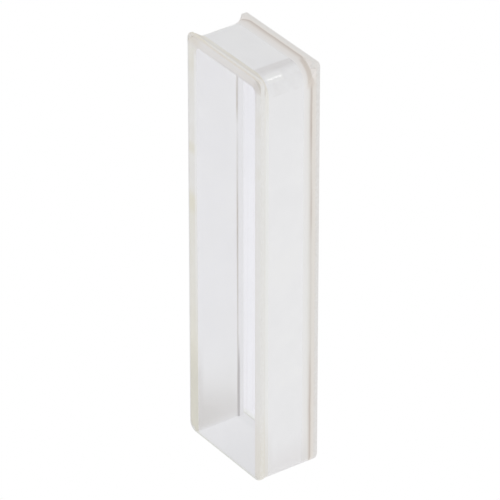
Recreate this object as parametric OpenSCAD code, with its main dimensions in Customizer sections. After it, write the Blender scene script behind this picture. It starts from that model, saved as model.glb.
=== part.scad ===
// Rectangular glass cuvette: a U-shaped frosted body closed at one end, with a clear
// window cemented on its front and another on its back. It stands on its open mouth,
// closed end up. Front is -Y, the mouth plane is z = 0, all sizes in millimetres.
// The windows' inner edges are bevelled, and the cement fills the groove that each
// bevel leaves round the joint, runs out as a bead and leaves a fillet inside.

/* [Cell] */
// Height from the mouth to the far edge of the windows
cell_h = 45; // [20:0.5:80]
// Light path: distance between the inner faces of the two windows
path_len = 5.45; // [2:0.05:20]
// Inner width of the chamber
cavity_w = 10; // [4:0.1:30]

/* [Body] */
// Thickness of the two side walls
wall_t = 1; // [0.5:0.05:3]
// Thickness of the closed end
end_t = 1; // [0.5:0.05:4]
// Outer corner radius of the body at its closed end
body_corner_r = 1.95; // [0.6:0.05:3]
// Outer corner radius of the body at its mouth
body_mouth_r = 1; // [0.3:0.05:2]
// Corner radius of the chamber at its closed end
cavity_corner_r = 0.7; // [0.4:0.05:2]

/* [Windows] */
// Thickness of the front window
front_t = 0.45; // [0.4:0.05:3]
// Thickness of the rear window
rear_t = 0.9; // [0.6:0.05:3]
// How far the windows stand out past the body at its sides and closed end
overhang = 0.1; // [0.05:0.01:0.6]
// Corner radius of the front window at the closed end
front_corner_r = 0.65; // [0.4:0.05:2]
// Corner radius of the front window at the mouth
front_mouth_r = 1; // [0.4:0.05:2]
// Corner radius of the rear window at the closed end
rear_corner_r = 0.45; // [0.4:0.05:2]
// Corner radius of the rear window at the mouth
rear_mouth_r = 1.15; // [0.4:0.05:2]
// Bevel along the edges of each window's outer face
outer_bevel = 0.1; // [0.05:0.01:0.2]
// Bevel along the edges of the front window's inner face, filled by the cement
front_bevel = 0.1; // [0.05:0.01:0.2]
// Bevel along the edges of the rear window's inner face, filled by the cement
rear_bevel = 0.36; // [0.1:0.01:0.4]

/* [Cement] */
// Thickness of the cement film between body and window
film_t = 0.06; // [0.02:0.01:0.2]
// How far the front cement runs back along the outside of the body
front_bead_len = 0.45; // [0.3:0.05:2]
// Share of the corner gap between body and front window that the cement fills
front_fill = 0.65; // [0.4:0.01:1]
// How far the rear cement runs forward along the outside of the body
rear_bead_len = 0.95; // [0.3:0.05:2]
// Share of the corner gap between body and rear window that the cement fills
rear_fill = 0.75; // [0.4:0.01:1]
// How far the front cement runs back along the chamber's walls
front_run = 0.12; // [0.08:0.01:0.4]
// How far the rear cement runs forward along the chamber's walls
rear_run = 0.6; // [0.1:0.05:1]
// Height of the cement's fillets inside the chamber, measured on the windows
fillet_h = 0.15; // [0.08:0.01:0.3]
// Thickness at which the cement runs out, and by which it stays short of the bevel's edge
bead_edge = 0.02; // [0.01:0.005:0.04]

/* [Parts] */
// Names of the sub-parts
// Sub-part to draw

/* [Hidden] */
body_w = cavity_w + 2 * wall_t;
body_top = cell_h - overhang;
cavity_top = body_top - end_t;
body_depth = path_len - 2 * film_t;
window_w = body_w + 2 * overhang;
depth = front_t + path_len + rear_t;
front_y = front_t - depth / 2;
rear_y = depth / 2 - rear_t;
least_r = 0.05;
front_top = max(front_corner_r, front_bevel + least_r);
front_foot = max(front_mouth_r, front_bevel + least_r);
rear_top = max(rear_corner_r, rear_bevel + least_r);
rear_foot = max(rear_mouth_r, rear_bevel + least_r);
front_bead_h = front_fill * corner_gap(front_top);
rear_bead_h = rear_fill * corner_gap(rear_top);
bead_hollow = 0.8;
border = wall_t / 4;
cut_over = 1;
$fn = 96;

// How far a window's corner of radius r stands out past the body's corner, measured
// along the diagonal.
function corner_gap(r) =
    max(overhang, (sqrt(2) - 1) * (body_corner_r - r) + sqrt(2) * overhang);

// Extrudes a shape drawn in x-z over the depths y0 to y0 + len.
module along_y(y0, len) {
    translate([0, y0 + len, 0])
        rotate([90, 0, 0])
            linear_extrude(len)
                children();
}

// Rounds one corner of a drawn shape: the square tip less its quarter disc.
module corner_tip(r) {
    difference() {
        square(r + cut_over);
        circle(r);
    }
}

// Upright rectangle on z = 0 with one radius at the mouth and another at the top.
module upright(w, h, r_mouth, r_top) {
    difference() {
        translate([-w / 2, 0])
            square([w, h]);
        for (side = [0, 1]) {
            mirror([side, 0])
                translate([w / 2 - r_top, h - r_top])
                    corner_tip(r_top);
            mirror([side, 0])
                translate([w / 2 - r_mouth, r_mouth])
                    mirror([0, 1])
                        corner_tip(r_mouth);
        }
    }
}

// The chamber's outline, running out through the mouth, widened by grow.
module chamber_outline(grow) {
    half_w = cavity_w / 2 + grow;
    top = cavity_top + grow;
    r = cavity_corner_r + grow;
    difference() {
        translate([-half_w, -cut_over])
            square([2 * half_w, top + cut_over]);
        for (side = [0, 1])
            mirror([side, 0])
                translate([half_w - r, top - r])
                    corner_tip(r);
    }
}

// The U of the body's section across the light path, thinned by inset on both sides.
module u_outline(inset) {
    difference() {
        upright(body_w - 2 * inset, body_top - inset, body_mouth_r, body_corner_r - inset);
        chamber_outline(inset);
    }
}

// Half section of a window's edge: distance from its middle against thickness, with
// the wide bevel of the inner face and the narrow bevel of the outer face.
module edge_section(reach, t, bevel) {
    polygon([
        [0, 0],
        [reach - bevel, 0],
        [reach, bevel],
        [reach, t - outer_bevel],
        [reach - outer_bevel, t],
        [0, t]
    ]);
}

// Window lying in x-y with its inner face on z = 0 and its outer face above.
module window_flat(r_mouth, r_top, t, bevel) {
    half_w = window_w / 2;
    mid_h = cell_h / 2;
    translate([0, r_mouth, 0])
        rotate([-90, 0, 0])
            linear_extrude(cell_h - r_top - r_mouth)
                mirror([0, 1])
                    union() {
                        edge_section(half_w, t, bevel);
                        mirror([1, 0])
                            edge_section(half_w, t, bevel);
                    }
    for (side = [0, 1])
        mirror([side, 0, 0]) {
            translate([half_w - r_top, cell_h - r_top, 0])
                rotate_extrude()
                    edge_section(r_top, t, bevel);
            translate([half_w - r_mouth, r_mouth, 0])
                rotate_extrude()
                    edge_section(r_mouth, t, bevel);
        }
    translate([0, mid_h, 0])
        edge_run(window_w - 2 * r_top, mid_h, t, bevel);
    translate([0, mid_h, 0])
        mirror([0, 1, 0])
            edge_run(window_w - 2 * r_mouth, mid_h, t, bevel);
}

// The part of a window between two corners, out to a level edge.
module edge_run(len, reach, t, bevel) {
    translate([-len / 2, 0, 0])
        rotate([90, 0, 90])
            linear_extrude(len)
                edge_section(reach, t, bevel);
}

// Section of a cement bead: x out from the wall, y away from the window. Its hollow
// face is one arc from the wall to the window that meets the wall at a small angle and
// leaves a thin edge at each end. It brings the film's border with it, film high.
module bead_section(h, len, film) {
    rise = h - bead_edge;
    run = len - bead_edge;
    chord = norm([rise, run]);
    half_turn = bead_hollow * atan2(rise, run);
    sag = chord / 2 * tan(half_turn / 2);
    arc_r = (chord * chord / 4 + sag * sag) / (2 * sag);
    out = (arc_r - sag) / chord;
    difference() {
        square([h, len]);
        translate([(h + bead_edge) / 2 + out * run, (len + bead_edge) / 2 + out * rise])
            circle(arc_r, $fn = 192);
    }
    translate([-border, 0])
        square([border, film]);
}

// Carries a section up the sides and over the closed end of an upright U of half
// width hw, height h and corner radius r, from z = 0; section y runs to -Y.
module carry(hw, h, r) {
    for (side = [0, 1])
        mirror([side, 0, 0]) {
            translate([hw, 0, 0])
                mirror([0, 1, 0])
                    linear_extrude(h - r)
                        children();
            translate([hw - r, 0, h - r])
                turn(r, 90)
                    children();
        }
    translate([-(hw - r), 0, h])
        rotate([90, 0, 90])
            linear_extrude(2 * (hw - r))
                rotate(90)
                    children();
}

// Sweeps a section round an upright arc that starts level at +X and rises.
module turn(r, angle) {
    rotate([90, 0, 0])
        rotate_extrude(angle = angle)
            translate([r, 0])
                children();
}

// Window standing on its mouth edge, inner face on y = 0 and outer face behind it.
module window(r_mouth, r_top, t, bevel) {
    mirror([0, 1, 0])
        rotate([90, 0, 0])
            window_flat(r_mouth, r_top, t, bevel);
}

// Cement of one window, whose inner face is on y = 0 with the body before it: the
// film, the wedge under the bevel, the outer bead and the fillet in the chamber. The
// bead fills out only as far as the window reaches, so it is a hollow fillet at the
// rounded corners and ends flush with the window's edge along the sides.
module cement(h, len, run, r_mouth, r_top, t, bevel) {
    wedge = bevel - bead_edge;
    difference() {
        intersection() {
            union() {
                along_y(-film_t, film_t + wedge)
                    u_outline(border / 2);
                translate([0, wedge, 0])
                    carry(body_w / 2, body_top, body_corner_r)
                        bead_section(h, len + wedge, film_t + wedge);
                carry(cavity_w / 2, cavity_top, cavity_corner_r)
                    mirror([1, 0])
                        bead_section(fillet_h, run, film_t);
            }
            along_y(-len - cut_over, len + 2 * cut_over)
                upright(window_w, cell_h, r_mouth, r_top);
        }
        window(r_mouth, r_top, t, bevel);
    }
}

module body() {
    color([0.9, 0.9, 0.91])
        along_y(front_y + film_t, body_depth)
            u_outline(0);
}

module front_window() {
    color([0.93, 0.95, 0.96, 0.5])
        translate([0, front_y, 0])
            mirror([0, 1, 0])
                window(front_foot, front_top, front_t, front_bevel);
}

module rear_window() {
    color([0.93, 0.95, 0.96, 0.5])
        translate([0, rear_y, 0])
            window(rear_foot, rear_top, rear_t, rear_bevel);
}

module front_cement() {
    color([0.83, 0.8, 0.7])
        translate([0, front_y, 0])
            mirror([0, 1, 0])
                cement(front_bead_h, front_bead_len, front_run, front_foot, front_top, front_t,
                       front_bevel);
}

module rear_cement() {
    color([0.55, 0.42, 0.3])
        translate([0, rear_y, 0])
            cement(rear_bead_h, rear_bead_len, rear_run, rear_foot, rear_top, rear_t,
                   rear_bevel);
}

body();
front_window();
rear_window();
front_cement();
rear_cement();
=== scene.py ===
from functools import reduce
from math import cos, radians, sin

import bpy
import numpy as np
from mathutils import Matrix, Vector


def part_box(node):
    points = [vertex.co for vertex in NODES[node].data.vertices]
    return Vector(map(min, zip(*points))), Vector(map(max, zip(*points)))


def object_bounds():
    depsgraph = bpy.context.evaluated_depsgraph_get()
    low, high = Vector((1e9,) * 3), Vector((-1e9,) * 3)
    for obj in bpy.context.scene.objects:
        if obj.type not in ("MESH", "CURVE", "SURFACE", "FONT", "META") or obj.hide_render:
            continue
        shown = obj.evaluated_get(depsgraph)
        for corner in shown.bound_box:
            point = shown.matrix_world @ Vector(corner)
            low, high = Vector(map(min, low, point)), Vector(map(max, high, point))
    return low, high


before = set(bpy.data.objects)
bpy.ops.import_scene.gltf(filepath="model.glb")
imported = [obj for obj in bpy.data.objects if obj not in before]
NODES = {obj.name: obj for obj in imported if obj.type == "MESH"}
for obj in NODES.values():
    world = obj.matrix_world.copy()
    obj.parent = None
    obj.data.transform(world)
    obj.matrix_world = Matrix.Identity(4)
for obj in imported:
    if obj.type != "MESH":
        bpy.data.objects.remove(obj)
CAD_BOX = [list(corner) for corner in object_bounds()]

bl_info = {
    "name": "Cuvette Looks",
    "version": (1, 0, 0),
    "blender": (4, 5, 0),
    "location": "View3D > Sidebar > Cuvette",
    "description": "Glass, cement and stage for a cemented rectangular cuvette",
    "category": "Object",
}

MM = 0.001
WINDOWS = ("front_window", "rear_window")
CEMENTS = ("front_cement", "rear_cement")

# In mm: the body's half width and top, the rear window's outer face and the windows' far edge,
# the inner faces of the front and the rear window, the thickness of the walls and of the closed
# end, and the chamber's half width and ceiling.
SIDE, _, TOP = (float(size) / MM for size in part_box("body")[1])
_, BACK, EDGE = (float(size) / MM for size in CAD_BOX[1])
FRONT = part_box("front_window")[1][1] / MM
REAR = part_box("rear_window")[0][1] / MM
WALL = 1.0
INNER = SIDE - WALL
CEILING = TOP - WALL
# Outlines in mm as half width, top and radius of the upper corners.
BODY = (SIDE, TOP, 1.95)
CHAMBER = (INNER, CEILING, 0.7)

# Where the brown inside begins, as y in mm at the mouth, and how far it comes forward per mm
# of height.
CREPT_EDGE = 1.89
CREPT_LEAN = 0.0036
# How strong the brown is by height, as (mm above the mouth, strength): inside along the
# chamber's wall, and outside along the edge of the body.
CREEP = (
    (0, 0.3),
    (0.9, 0.8),
    (4, 0.74),
    (8, 0.55),
    (11, 0.5),
    (18, 0.62),
    (24, 0.72),
    (27, 0.45),
    (31, 0.28),
    (33.3, 0.12),
    (35.6, 0.57),
    (45, 0.6),
)
BROWN = (
    (0, 0.8),
    (7, 0.85),
    (11, 0.6),
    (14, 0.15),
    (20, 0.05),
    (25.5, 0.1),
    (29, 0.65),
    (34, 0.3),
    (38.3, 0.95),
    (41, 0.8),
    (45, 0.8),
)
# How strong the olive is by height on the left of the front cement.
OLIVE = (
    (0, 0.9),
    (6, 1.0),
    (14, 0.5),
    (20, 0.35),
    (24.8, 0.5),
    (25.6, 0.95),
    (26.8, 0.95),
    (27.6, 0.25),
    (28.5, 0.05),
    (31.5, 0.1),
    (32.1, 0.7),
    (32.7, 0.65),
    (33.3, 0.05),
    (34.8, 0.0),
    (38, 0.1),
    (45, 0.5),
)

# Colours across the rear bead, from the body's face to the window, as (share, colour):
# where it is browned, where it is clean, and over the closed end, where it glows with the
# body's light and is paler throughout.
BROWNED_BEAD = (
    (0.1, "#FBFAFA"),
    (0.38, "#F9F7F5"),
    (0.5, "#F3F0EC"),
    (0.58, "#E8E2DD"),
    (0.66, "#D2C6BE"),
    (0.72, "#CFC4BB"),
    (0.78, "#EFE8E0"),
    (0.93, "#F2EDE7"),
)
CLEAN_BEAD = (
    (0.1, "#FBFAFA"),
    (0.38, "#F9F8F6"),
    (0.53, "#F1EFEB"),
    (0.68, "#E9E5DF"),
    (0.8, "#F0ECE6"),
    (0.93, "#F2EDE7"),
)
LIT_BEAD = (
    (0.05, "#FFFDFC"),
    (0.4, "#FBF6F2"),
    (0.55, "#F1EAE4"),
    (0.66, "#E2D9D1"),
    (0.72, "#E0D6CE"),
    (0.8, "#FCF7F1"),
    (0.9, "#FEF9F5"),
)
# How deep in mm the looks of a bead or a fillet go on under the body's faces, and how far a
# sharp border between two looks is blurred to each side.
SKIN = 0.2
BLUR = 0.01
# Noise of scale 1 has blotches about this many units across.
BLOTCH = 0.7

# The stage, in metres: half the floor's side, and where the key light stands and points.
FLOOR_HALF = 3.0
KEY_PLACE = (0.18, 0.28, 0.52)
KEY_TARGET = (0.0, 0.0, 0.03)


def linear(colour):
    """Turns an sRGB hex colour into linear RGBA, and a plain strength into a grey."""
    if not isinstance(colour, str):
        return (colour, colour, colour, 1.0)
    srgb = np.array([int(colour[i : i + 2], 16) for i in (1, 3, 5)]) / 255
    rgb = np.where(srgb <= 0.04045, srgb / 12.92, ((srgb + 0.055) / 1.055) ** 2.4)
    return (*rgb.tolist(), 1.0)


def add(tree, kind, inputs=(), stops=(), **fields):
    """Adds a node with its fields, colour stops and inputs, and returns its outputs.

    Inputs go by name, or in the node's own order. Each is a socket to link, a value or a hex
    colour.
    """
    node = tree.nodes.new(kind if "Node" in kind else "ShaderNode" + kind)
    for name, value in fields.items():
        setattr(node, name, value)
    named = inputs if isinstance(inputs, dict) else dict(enumerate(inputs))
    for name, value in named.items():
        if isinstance(value, bpy.types.NodeSocket):
            tree.links.new(value, node.inputs[name])
        else:
            node.inputs[name].default_value = linear(value) if isinstance(value, str) else value
    elements = node.color_ramp.elements if stops else ()
    while len(elements) < len(stops):
        elements.new(1.0)
    for element, (place, colour) in zip(elements, stops):
        element.position = place
        element.color = linear(colour)
    return node.outputs


def blank(name):
    """Makes an empty material, and returns it with its tree, the place in mm and its x, y and z."""
    material = bpy.data.materials.new(name)
    material.use_nodes = True
    tree = material.node_tree
    tree.nodes.clear()
    spot = add(tree, "TexCoord")["Object"]
    place = add(tree, "Mapping", {"Vector": spot, "Scale": (1 / MM, 1 / MM, 1 / MM)})[0]
    return material, tree, place, add(tree, "SeparateXYZ", [place])


def patch(tree, *spans):
    """Multiplies spans into one mask.

    A span is a strength, or (value, none at, all at) for a smooth step between those two
    values, which may go on with the strengths at its two ends.
    """
    steps = [
        add(tree, "MapRange", span, interpolation_type="SMOOTHSTEP")[0]
        if isinstance(span, tuple)
        else span
        for span in spans
    ]
    return reduce(lambda a, b: add(tree, "Math", (a, b), operation="MULTIPLY")[0], steps)


def stain(tree, tone, colour, *spans):
    """Lays a colour over a tone within the patch that the spans give."""
    return add(tree, "Mix", {"Factor": patch(tree, *spans), "A": tone, "B": colour}, data_type="RGBA")[2]


def by_height(tree, z, stops):
    """Reads a strength off (mm above the mouth, strength) stops, in straight lines between them."""
    height = add(tree, "Math", (z, EDGE), operation="DIVIDE")[0]
    return add(tree, "ValToRGB", (height,), [(mm / EDGE, strength) for mm, strength in stops])[0]


def past_corner(tree, place, outline):
    """Vector in x and z from the centre of an outline's rounded upper corner to a place, not below 0.

    Its y is 0, because no place is as far from the middle as EDGE.
    """
    half, top, radius = outline
    spread = add(tree, "VectorMath", (place,), operation="ABSOLUTE")[0]
    start = (half - radius, EDGE, top - radius)
    past = add(tree, "VectorMath", (spread, start), operation="SUBTRACT")[0]
    return add(tree, "VectorMath", (past, (0, 0, 0)), operation="MAXIMUM")[0]


def off_outline(tree, place, outline):
    """How far a place stands out past an outline of two upright sides and a rounded top."""
    past = past_corner(tree, place, outline)
    reach = add(tree, "VectorMath", (past,), operation="LENGTH")["Value"]
    _, _, radius = outline
    return add(tree, "Math", (reach, radius), operation="SUBTRACT")[0]


def frosted_glass(settings):
    """Soda-lime glass, ground and etched: a satin white with a fine grain and a soft glow."""
    material, tree, place, (x, y, z) = blank("Frosted Glass Etched")
    # Real frosting is finer than a pixel, so its grain is drawn as coarse as one.
    fine = BLOTCH * MM / settings.grain_size
    grain = add(tree, "TexNoise", {"Vector": place, "Scale": fine, "Detail": 3.0, "Roughness": 0.6})[0]
    cloud = add(tree, "TexNoise", {"Vector": place, "Scale": BLOTCH / 3})[0]
    tone = stain(tree, settings.dull, settings.frost, (cloud, 0.3, 0.7))
    # Inside, the left wall is a little warmer. The right wall is greyer towards the closed end,
    # and painted shade darkens the foot, most of all at the front of the right wall and inside
    # the left one.
    inside_left = ((x, 0.2 - INNER, 0.1 - INNER), (x, -0.3 - INNER, -0.1 - INNER))
    right = (x, INNER, SIDE)
    tone = stain(tree, tone, "#F9F9F5", *inside_left, 0.6)
    tone = stain(tree, tone, "#EDEDEE", (z, 37, 42, 0, 0.6), right)
    tone = stain(tree, tone, "#E2DFDF", (z, 5, 0.5, 0, 0.65))
    tone = stain(tree, tone, "#E6E5E4", (z, 6.5, 4), (y, FRONT + 1.2, FRONT + 0.6), right, 0.6)
    tone = stain(tree, tone, "#D8D6D2", (z, 9, 0), (y, FRONT, 1.5, 1, 0.55), *inside_left)
    tone = stain(tree, tone, "#CFCCC9", (z, 12, 5), (y, FRONT + 1.1, FRONT + 0.2), *inside_left, 0.6)
    # Brown has crept out of the rear joint along the chamber's walls, in a broken line.
    broken = add(
        tree,
        "TexNoise",
        {"Vector": place, "Scale": BLOTCH / 1.5, "Detail": 3.0, "Roughness": 0.7},
    )[0]
    lean = add(tree, "Math", (z, CREPT_LEAN, y), operation="MULTIPLY_ADD")[0]
    spread = add(tree, "Math", (x,), operation="ABSOLUTE")[0]
    walls = ((spread, INNER + 0.06, INNER + 0.04), (z, CEILING + 0.06, CEILING + 0.04))
    ragged = (by_height(tree, z, CREEP), (broken, 0.3, 0.5, 0.6, 1.0))
    crept = (lean, CREPT_EDGE - 0.02, CREPT_EDGE + 0.02)
    tone = stain(tree, tone, settings.crept, crept, *walls, *ragged)
    # On the right rounded corner the colour is mottled darker all over, with painted shade where it leaves
    # the flat top and a painted glint below that, where the corner is also less rough. Its turn is an angle
    # in radians, 0 at the side wall.
    across, _, above = add(tree, "SeparateXYZ", (past_corner(tree, place, BODY),))
    turn = add(tree, "Math", (above, across), operation="ARCTAN2")[0]
    streak = add(tree, "TexNoise", {"Vector": place, "Scale": BLOTCH / 0.8})[0]
    mottle = add(tree, "TexNoise", {"Vector": place, "Scale": BLOTCH / 0.9, "Detail": 3.0})[0]
    skin = (off_outline(tree, place, BODY), -0.32, -0.28)
    corner = patch(tree, (x, 0, 0.1), (across, 0, 0.02), (above, 0, 0.02), skin)
    flat = ((x, SIDE - 2.65, SIDE - 2.3), (z, CEILING + 0.08, CEILING + 0.12))
    tone = stain(tree, tone, "#E4E2E2", corner, (mottle, 0.4, 0.65, 0.0, 0.35))
    # Painted shade where the corner leaves the flat top.
    tone = stain(tree, tone, "#E0DEDE", *flat, (turn, 1.1, 1.5), (streak, 0.2, 0.5, 0.7, 1.0), 0.8)
    near = ((y, -0.3, -0.6), (y, FRONT + 0.6, FRONT + 1.0))
    # Patch of the painted glint, where the corner is also less rough.
    painted_glint = patch(tree, corner, (turn, 0.65, 0.85), (turn, 1.25, 1.05), *near, (streak, 0.15, 0.35))
    tone = stain(tree, tone, "#FFFFFF", painted_glint)
    satin = (settings.roughness - 0.06, settings.roughness + 0.06)
    rough = add(tree, "MapRange", (grain, 0.3, 0.7, *satin))[0]
    shader = add(
        tree,
        "BsdfPrincipled",
        {
            "Base Color": tone,
            "Roughness": add(tree, "Math", (painted_glint, -0.45, rough), operation="MULTIPLY_ADD")[0],
            "IOR": 1.46,
            "Subsurface Weight": settings.glow,
            "Subsurface Radius": (1.0, 1.0, 1.0),
            "Subsurface Scale": settings.glow_depth,
            "Normal": add(
                tree, "Bump", {"Height": grain, "Strength": 0.15, "Distance": settings.grain_height}
            )[0],
        },
    )[0]
    add(tree, "OutputMaterial", {"Surface": shader})
    return material


def window_glass(settings):
    """Float glass, polished: clear with a breath of blue, and a sharp reflection."""
    material, tree, place, (_, y, z) = blank("Float Glass Polished")
    front, rear = (y, 0, -0.1), (y, 0, 0.1)
    # Broad wiping marks dull the polish a little and tint it by a hair.
    wipe = add(
        tree,
        "TexNoise",
        {"Vector": place, "Scale": BLOTCH / 5, "Detail": 3.0, "Roughness": 0.6},
    )[0]
    tone = stain(tree, settings.clear, settings.wiped, (wipe, 0.35, 0.7))
    # The rear plate's ground foot shows green through the glass.
    tone = stain(tree, tone, "#F0F2EB", (z, 0.7, 0.5), rear)
    # High up the rear plate is greyer, and the front plate's free corners are smeared.
    tone = stain(tree, tone, "#F6F6F9", (z, 24, 36), rear)
    free = (off_outline(tree, place, BODY), 0.1, 0.25)
    tone = stain(tree, tone, "#DEDBD6", free, (z, TOP - 3, TOP - 2), front)
    polish = (settings.roughness, settings.roughness + 0.08)
    shader = add(
        tree,
        "BsdfPrincipled",
        {
            "Base Color": tone,
            "Roughness": add(tree, "MapRange", (wipe, 0.5, 0.8, *polish))[0],
            "IOR": 1.5,
            "Transmission Weight": 1.0,
        },
    )[0]
    add(tree, "OutputMaterial", {"Surface": shader})
    return material


def ground_glass(settings):
    """Float glass, ground: the matt grey of a sanded edge, tanned at the back by its cement."""
    material, tree, place, (x, y, z) = blank("Float Glass Ground Edge")
    along = add(tree, "MapRange", (y, REAR + 0.2, BACK))[0]
    back = add(tree, "ValToRGB", (along,), ((0.2, "#EEE9E4"), (0.6, "#EDEBE8"), (1.0, "#F0EFED")))[0]
    # The edges over the closed end catch more light from the body and are paler.
    high = (z, TOP - 0.4, TOP - 0.05)
    back = stain(tree, back, "#FBF8F4", high)
    front = stain(tree, settings.ground, "#FFFCF7", high)
    tone = stain(tree, front, back, (y, 0, 0.1))
    # Over the closed end the front plate's left end is yellow, and its bevel is darker.
    over_front = ((z, TOP - 0.1, TOP - 0.03), (y, 0, -0.1))
    tone = stain(tree, tone, "#FAF4E6", (x, -2, -4), *over_front)
    tone = stain(tree, tone, "#F7F1E7", (y, FRONT - 0.31, FRONT - 0.36), *over_front)
    # The front plate's right edge is warmer and darker towards the foot, and both feet carry
    # painted light that lifts their shade.
    tone = stain(tree, tone, "#F1EEE5", (x, INNER - 1, INNER), (y, -2, -3), (z, 10, 2))
    tone = stain(tree, tone, "#FAFBF4", (z, 0.3, 0.12))
    grain = add(tree, "TexNoise", {"Vector": place, "Scale": BLOTCH / 0.25, "Detail": 3.0})[0]
    tone = stain(tree, tone, "#FFFFFF", (grain, 0.35, 0.65, 0.0, 0.25))
    shader = add(
        tree,
        "BsdfPrincipled",
        {"Base Color": tone, "Roughness": settings.edge_roughness, "IOR": 1.5},
    )[0]
    add(tree, "OutputMaterial", {"Surface": shader})
    return material


def front_cement(settings):
    """Resin cement, cast and aged: near white, olive in patches and yellow over the closed end."""
    material, tree, place, (x, y, z) = blank("Resin Cement Cast Pale")
    blotch = add(tree, "TexNoise", {"Vector": place, "Scale": BLOTCH / 2.5, "Detail": 3.0})[0]
    tone = add(tree, "ValToRGB", (blotch,), ((0.3, "#F3F2EE"), (0.55, "#F7F6F3"), (0.75, "#F3F1EA")))[0]
    # Olive creeps in on the left side, in patches, and is darkest at the foot, where the right
    # side is warmer and darker too.
    left, right = (x, 1 - INNER, -INNER), (x, INNER - 1, INNER)
    tone = stain(tree, tone, settings.olive, left, by_height(tree, z, OLIVE))
    tone = stain(tree, tone, "#E6E3D4", left, (z, 11, 6))
    tone = stain(tree, tone, "#F0ECE3", right, (z, 10, 2))
    # The rim over the closed end is a pinkish grey that darkens to the right.
    over = (z, CEILING - 0.7, CEILING - 0.1)
    tone = stain(tree, tone, "#F1EEEA", over, 0.9)
    tone = stain(tree, tone, "#EFEBE6", over, (x, 1.5, 3.5))
    tone = stain(tree, tone, "#E7E3DD", over, (x, INNER - 0.4, INNER + 0.5))
    # Along the opening it has a darker line, and on the left side a paler edge.
    off = off_outline(tree, place, CHAMBER)
    rim = ((off, -0.2, -0.14), (off, 0.1, 0.02))
    faint = ((z, CEILING - 2.9, CEILING - 0.6, 0.3, 1.0), (x, -3.6, -0.6, 0.2, 0.7))
    tone = stain(tree, tone, "#E6E3E2", *rim, *faint)
    upright = ((z, CEILING - 0.5, CEILING - 1.5), (z, 2, 36, 0, 0.8))
    tone = stain(tree, tone, "#FFFFFF", (off, 0.35, 0.0), left, *upright)
    # The bead outside is paler along the sides, yellow over the closed end and dull at the foot.
    yellow = ((z, TOP - 4.9, TOP - 0.6), (blotch, 0.3, 0.6, 0.5, 1.0))
    bead = stain(tree, "#FAFAF8", settings.yellow, *yellow)
    bead = stain(tree, bead, "#EDEAE3", (z, 9, 1, 0, 0.8))
    outside = (off_outline(tree, place, BODY), -SKIN - BLUR, BLUR - SKIN)
    tone = stain(tree, tone, bead, (y, FRONT + 0.02, FRONT + 0.07), outside)
    # The left upper corner is stained, and the opening's right one is darkened with painted shade.
    left_corner = ((x, 1.6 - INNER, -0.3 - INNER), (z, TOP - 1.6, TOP - 0.5))
    tone = stain(tree, tone, "#E6DCC8", *left_corner, 0.45)
    right_corner = ((x, INNER - 0.7, INNER - 0.2), (x, INNER + 0.5, INNER + 0.1))
    lintel = ((z, CEILING - 0.9, CEILING), (z, CEILING + 0.7, CEILING + 0.3))
    # Painted shade in the opening's right upper corner.
    tone = stain(tree, tone, "#D3CBC5", *right_corner, *lintel, 0.35)
    shader = add(
        tree,
        "BsdfPrincipled",
        {"Base Color": tone, "Roughness": settings.roughness, "IOR": 1.5},
    )[0]
    add(tree, "OutputMaterial", {"Surface": shader})
    return material


def rear_cement(settings):
    """Resin cement, cast and browned: a broken brown line by the body's edge, and tan by the window."""
    material, tree, place, (x, y, z) = blank("Resin Cement Cast Browned")
    ragged = add(tree, "TexNoise", {"Vector": place, "Scale": BLOTCH / 1.2, "Detail": 3.0})[0]
    # Across the bead the line follows y, goes up with the bead where it lifts off the body,
    # wanders a little and lies further forward along the sides than over the closed end.
    high = (z, TOP - 2.4, TOP - 0.2)
    lift = add(tree, "MapRange", (off_outline(tree, place, BODY), 0.1, 1.1, 0.0, 2.2))[0]
    wander = add(tree, "MapRange", (ragged, 0, 1, -0.06, 0.06))[0]
    shift = patch(tree, (z, 30, 38, 0.12, 0.18), (*high, 1.0, 0.0))
    reach = reduce(lambda a, b: add(tree, "Math", (a, b), operation="ADD")[0], (y, lift, wander, shift))
    along = add(tree, "MapRange", (reach, REAR - 1, REAR + 0.5))[0]
    clean, browned, lit = (
        add(tree, "ValToRGB", (along,), stops)[0] for stops in (CLEAN_BEAD, BROWNED_BEAD, LIT_BEAD)
    )
    outer = stain(tree, clean, browned, by_height(tree, z, BROWN))
    outer = stain(tree, outer, lit, high)
    # Towards the foot the bead is darkened with painted shade, as the body is, and its right
    # corner is mottled with brown.
    outer = stain(tree, outer, "#E6E3E2", (z, 5, 0.5, 0, 0.45), (along, 0.6, 0.4))
    mottle = add(
        tree,
        "TexNoise",
        {"Vector": place, "Scale": BLOTCH / 0.45, "Detail": 3.0, "Roughness": 0.7},
    )[0]
    corner = ((x, INNER - 0.8, INNER), (z, TOP - 2.7, TOP - 1.7), (along, 0.25, 0.5), (along, 1.0, 0.8))
    outer = stain(tree, outer, settings.brown, *corner, (mottle, 0.35, 0.6, 0.45, 0.95))
    # Inside, the fillet is white with a brown edge, and grey at the foot.
    browned_edge = (y, CREPT_EDGE + 0.13, CREPT_EDGE + 0.05)
    inner = stain(tree, "#FFFFFF", "#C3B9B2", browned_edge, by_height(tree, z, CREEP))
    inner = stain(tree, inner, "#C2BEBE", (z, 10, 5), (y, CREPT_EDGE + 0.31, CREPT_EDGE + 0.17))
    spread = add(tree, "Math", (x,), operation="ABSOLUTE")[0]
    beside = (spread, INNER + SKIN + BLUR, INNER + SKIN - BLUR)
    below = (z, CEILING + SKIN + BLUR, CEILING + SKIN - BLUR)
    tone = stain(tree, outer, inner, beside, below)
    shader = add(
        tree,
        "BsdfPrincipled",
        {"Base Color": tone, "Roughness": settings.roughness, "IOR": 1.5},
    )[0]
    add(tree, "OutputMaterial", {"Surface": shader})
    return material


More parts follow.
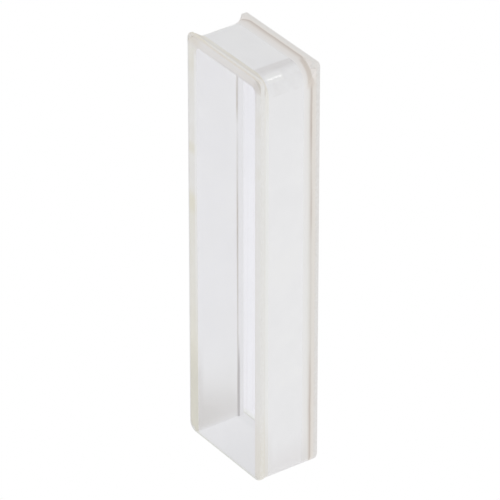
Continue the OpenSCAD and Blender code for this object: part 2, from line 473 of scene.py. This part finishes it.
def ground_edges(piece, material):
    """Adds a modifier that gives a plate's edges and bevels their material.

    They are the faces that don't look along y: the normal's y is 1 or -1 on a flat face, about
    0.7 of that on a bevel and 0 on an edge.
    """
    flat = 0.9
    group = bpy.data.node_groups.new("Ground Edges", "GeometryNodeTree")
    for way in ("INPUT", "OUTPUT"):
        group.interface.new_socket("Geometry", in_out=way, socket_type="NodeSocketGeometry")
    plate = add(group, "NodeGroupInput")[0]
    facing = add(group, "SeparateXYZ", (add(group, "GeometryNodeInputNormal")[0],))["Y"]
    size = add(group, "Math", (facing,), operation="ABSOLUTE")[0]
    edge = add(group, "Math", (size, flat), operation="LESS_THAN")[0]
    dressed = add(
        group,
        "GeometryNodeSetMaterial",
        {"Geometry": plate, "Selection": edge, "Material": material},
    )[0]
    add(group, "NodeGroupOutput", (dressed,))
    piece.modifiers.new("Ground Edges", "NODES").node_group = group


def studio_floor(settings):
    """Matt white sweep, bright all round, that keeps a soft shadow and has painted shade within the foot.
    """
    material, tree, place, (x, y, _) = blank("White Sweep Matt")
    # The foot ends at the body's sides and at the windows' bevels.
    bevel = 0.1
    spread = add(tree, "VectorMath", (place,), operation="ABSOLUTE")[0]
    across, along, _ = add(tree, "SeparateXYZ", (spread,))
    end = BACK - bevel
    within = patch(tree, (across, SIDE + BLUR, SIDE - BLUR), (along, end + BLUR, end - BLUR))
    seen = add(tree, "LightPath")["Is Camera Ray"]
    bounced = add(tree, "MapRange", (within, 0, 1, settings.glass_share, settings.chamber_share))[0]
    straight = add(tree, "Math", (seen, settings.white_share), operation="MULTIPLY")[0]
    even_share = add(tree, "Math", (bounced, straight), operation="MAXIMUM")[0]
    # Within the foot the white is dimmed as painted shade, less at the left and more before the
    # rear window.
    left_level = settings.chamber_level + 0.06
    even = add(tree, "MapRange", (x, -INNER, 1, left_level, settings.chamber_level))[0]
    chamber = patch(tree, even, (y, REAR - 0.9, REAR - 0.3, 1.0, 0.95))
    lit = add(tree, "MapRange", (within, 0, 1, 1, chamber))[0]
    level = add(tree, "Math", (lit, seen), operation="MAXIMUM")[0]
    matt = add(tree, "BsdfDiffuse", {"Color": settings.floor})[0]
    white = add(tree, "Emission", {"Strength": level})[0]
    mixed = add(tree, "MixShader", (even_share, matt, white))[0]
    add(tree, "OutputMaterial", {"Surface": mixed})
    return material


def sheet(name, half, level):
    """Level square: x and y run over plus and minus half on a grid of two parameters, z is level."""
    count = 9
    steps = np.linspace(-half, half, count)
    x, y = np.meshgrid(steps, steps, indexing="ij")
    points = np.stack([x, y, np.full_like(x, level)], -1).reshape(-1, 3)
    index = np.arange(count * count).reshape(count, count)
    corners = (index[:-1, :-1], index[1:, :-1], index[1:, 1:], index[:-1, 1:])
    faces = np.stack(corners, -1).reshape(-1, 4)
    mesh = bpy.data.meshes.new(name)
    mesh.from_pydata(points.tolist(), [], faces.tolist())
    piece = bpy.data.objects.new(name, mesh)
    bpy.context.scene.collection.objects.link(piece)
    return piece


def aim(spot, target):
    """Matrix of a lamp or a camera at spot that looks at target, with its right side level."""
    back = np.subtract(spot, target)
    back = back / np.linalg.norm(back)
    right = np.cross((0.0, 0.0, 1.0), back)
    right = right / np.linalg.norm(right)
    up = np.cross(back, right)
    rows = np.column_stack([right, up, back, spot])
    return Matrix([*rows.tolist(), (0, 0, 0, 1)])


def wear(name, material):
    """Gives a CAD node its material, and returns the node."""
    piece = NODES[name]
    piece.data.materials[0] = material
    return piece


def pass_light(piece):
    """Lets light reach the body through a thin piece, which casts no shadow and hides no soft light."""
    piece.visible_shadow = False
    piece.visible_diffuse = False


def colour_property(name, description, code):
    """A colour property whose default is a hex code."""
    return bpy.props.FloatVectorProperty(
        name=name,
        description=description,
        subtype="COLOR",
        size=4,
        min=0.0,
        max=1.0,
        default=linear(code),
    )


def length_property(name, description, size):
    """A length property whose default is in mm."""
    return bpy.props.FloatProperty(
        name=name, description=description, unit="LENGTH", precision=6, default=size * MM
    )


def share_property(name, description, default):
    """A share or strength property from 0 to 1."""
    return bpy.props.FloatProperty(
        name=name, description=description, subtype="FACTOR", min=0.0, max=1.0, default=default
    )


class CuvetteBodySettings(bpy.types.PropertyGroup):
    """Finish of the frosted body."""

    frost: colour_property("Frost", "Colour of the etched glass", "#F5F5F7")
    dull: colour_property("Dull Frost", "Colour of the etched glass in its clouds", "#F1F1F3")
    crept: colour_property("Crept Brown", "Colour of the brown that crept out of the rear joint", "#A39483")
    roughness: share_property("Roughness", "Mean roughness of the etched faces", 0.5)
    grain_size: length_property("Grain", "Size of the frosting's grain", 0.12)
    grain_height: length_property("Grain Height", "Height of the frosting's grain", 0.02)
    glow: share_property("Glow", "Share of light that scatters in the glass", 1.0)
    glow_depth: length_property("Glow Depth", "How far light scatters in the glass", 2.0)


class CuvetteWindowSettings(bpy.types.PropertyGroup):
    """Finish of the two windows."""

    clear: colour_property("Clear", "Tint of the clear glass", "#FBFBFE")
    wiped: colour_property("Wiped", "Tint of the clear glass where it was wiped", "#F9F9FC")
    ground: colour_property("Ground", "Colour of the front window's ground edges", "#F5F4F1")
    roughness: share_property("Face Roughness", "Roughness of the polished faces", 0.0)
    edge_roughness: share_property("Edge Roughness", "Roughness of the ground edges", 0.6)


class CuvetteCementSettings(bpy.types.PropertyGroup):
    """Finish of the cement, and how it sits against the glass."""

    olive: colour_property("Olive", "Colour of the front cement's patches on the left", "#F0ECDA")
    yellow: colour_property("Yellow", "Colour of the front bead over the closed end", "#F3EFE5")
    brown: colour_property("Brown", "Colour of the mottle at the rear bead's corner", "#E6DDD4")
    roughness: share_property("Roughness", "Roughness of the cement", 0.35)
    wetting: length_property("Wetting", "How far the cement swells, so that it shares no face", 0.003)


class CuvetteStageSettings(bpy.types.PropertyGroup):
    """Floor, light and camera."""

    floor: colour_property("Floor", "Colour of the floor where it takes a shadow", "#F0F0F0")
    white_share: share_property("White Share", "Share of pure white in the floor that the camera sees", 1.0)
    glass_share: share_property("Bounce Share", "Share of pure white in the floor for other rays", 0.8)
    chamber_share: share_property("Chamber Share", "Share of even white in the floor within the foot", 0.85)
    chamber_level: share_property("Chamber Level", "Level of the even white within the foot", 0.76)
    floor_gap: length_property("Floor Gap", "Room between the foot and the floor", 0.01)
    sky: share_property("Sky", "Strength of the light all round", 0.7)
    key: bpy.props.FloatProperty(
        name="Key", description="Power of the soft key light", unit="POWER", precision=3, default=0.14
    )
    key_size: length_property("Key Size", "Width of the soft key light", 110)
    azimuth: bpy.props.FloatProperty(
        name="Azimuth",
        description="Turn of the camera from the front",
        subtype="ANGLE",
        default=radians(54.877),
    )
    elevation: bpy.props.FloatProperty(
        name="Elevation", description="Rise of the camera", subtype="ANGLE", default=radians(31.71)
    )
    distance: length_property("Distance", "How far the camera stands from what it looks at", 498.845)
    look_depth: length_property("Look Depth", "Place in depth of what the camera looks at", -0.4)
    look_height: length_property("Look Height", "Height of what the camera looks at", 22.672)
    lens: bpy.props.FloatProperty(
        name="Lens", description="Focal length of the camera", unit="CAMERA", default=373.6
    )


class CUVETTE_OT_body(bpy.types.Operator):
    """Frosts the U-shaped body"""

    bl_idname = "cuvette.body"
    bl_label = "Frost Body"

    def execute(self, context):
        wear("body", frosted_glass(context.scene.cuvette_body))
        return {"FINISHED"}


class CUVETTE_OT_windows(bpy.types.Operator):
    """Makes both windows clear glass with ground edges"""

    bl_idname = "cuvette.windows"
    bl_label = "Clear Windows"

    def execute(self, context):
        settings = context.scene.cuvette_windows
        glass, ground = window_glass(settings), ground_glass(settings)
        for name in WINDOWS:
            piece = wear(name, glass)
            ground_edges(piece, ground)
            pass_light(piece)
        return {"FINISHED"}


class CUVETTE_OT_cement(bpy.types.Operator):
    """Colours the cement of both joints and wets it to the glass"""

    bl_idname = "cuvette.cement"
    bl_label = "Colour Cement"

    def execute(self, context):
        settings = context.scene.cuvette_cement
        finishes = (front_cement(settings), rear_cement(settings))
        for name, finish, slot in zip(CEMENTS, finishes, ("pale_cement", "brown_cement")):
            piece = wear(name, finish)
            pass_light(piece)
            swell = piece.modifiers.new("Wetting", "DISPLACE")
            swell.strength = settings.wetting
            swell.mid_level = 0.0
        return {"FINISHED"}


class CUVETTE_OT_stage(bpy.types.Operator):
    """Sets out the floor, the light and the camera"""

    bl_idname = "cuvette.stage"
    bl_label = "Set Stage"

    def execute(self, context):
        scene, settings = context.scene, context.scene.cuvette_stage
        floor = sheet("floor", FLOOR_HALF, -settings.floor_gap)
        floor.data.materials.append(studio_floor(settings))

        # Straight and through glass the world is white; it lights the object more softly.
        world = bpy.data.worlds.new("Studio Light Soft")
        world.use_nodes = True
        tree = world.node_tree
        tree.nodes.clear()
        rays = add(tree, "LightPath")
        seen = (rays["Is Camera Ray"], rays["Is Transmission Ray"])
        clear = add(tree, "Math", seen, operation="MAXIMUM")[0]
        level = add(tree, "MapRange", (clear, 0, 1, settings.sky, 1.0))[0]
        lit = add(tree, "Background", {"Color": "#FFFFFF", "Strength": level})[0]
        add(tree, "OutputWorld", {"Surface": lit})
        scene.world = world

        lamp = bpy.data.lights.new("key", "AREA")
        lamp.shape = "DISK"
        lamp.size = settings.key_size
        lamp.energy = settings.key
        key = bpy.data.objects.new("key", lamp)
        key.matrix_world = aim(KEY_PLACE, KEY_TARGET)
        scene.collection.objects.link(key)

        camera = bpy.data.cameras.new("camera")
        camera.lens = settings.lens
        camera.sensor_width = 36.0
        camera.clip_start = 0.01
        eye = bpy.data.objects.new("camera", camera)
        level_way = (sin(settings.azimuth), -cos(settings.azimuth))
        way = np.array([*np.multiply(level_way, cos(settings.elevation)), sin(settings.elevation)])
        target = np.array([0.0, settings.look_depth, settings.look_height])
        eye.matrix_world = aim(target + settings.distance * way, target)
        scene.collection.objects.link(eye)
        scene.camera = eye
        scene.view_settings.view_transform = "Standard"
        return {"FINISHED"}


class CUVETTE_PT_panel(bpy.types.Panel):
    """Lists the steps of the cuvette's looks"""

    bl_idname = "CUVETTE_PT_panel"
    bl_label = "Cuvette"
    bl_space_type = "VIEW_3D"
    bl_region_type = "UI"
    bl_category = "Cuvette"

    def draw(self, context):
        for operator, settings in STEPS:
            self.layout.operator(operator.bl_idname)
            group = getattr(context.scene, settings)
            for name in GROUPS[settings].__annotations__:
                self.layout.prop(group, name)


STEPS = (
    (CUVETTE_OT_body, "cuvette_body"),
    (CUVETTE_OT_windows, "cuvette_windows"),
    (CUVETTE_OT_cement, "cuvette_cement"),
    (CUVETTE_OT_stage, "cuvette_stage"),
)
GROUPS = {
    "cuvette_body": CuvetteBodySettings,
    "cuvette_windows": CuvetteWindowSettings,
    "cuvette_cement": CuvetteCementSettings,
    "cuvette_stage": CuvetteStageSettings,
}
CLASSES = (*GROUPS.values(), *(operator for operator, _ in STEPS), CUVETTE_PT_panel)


def register():
    """Registers the classes and gives the scene its settings."""
    for item in CLASSES:
        bpy.utils.register_class(item)
    for name, group in GROUPS.items():
        setattr(bpy.types.Scene, name, bpy.props.PointerProperty(type=group))


def unregister():
    """Takes the settings and the classes away again."""
    for name in GROUPS:
        delattr(bpy.types.Scene, name)
    for item in reversed(CLASSES):
        bpy.utils.unregister_class(item)


def main():
    """Registers the add-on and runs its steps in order."""
    register()
    bpy.ops.cuvette.body()
    bpy.ops.cuvette.windows()
    bpy.ops.cuvette.cement()
    bpy.ops.cuvette.stage()


if __name__ == "__main__":
    main()
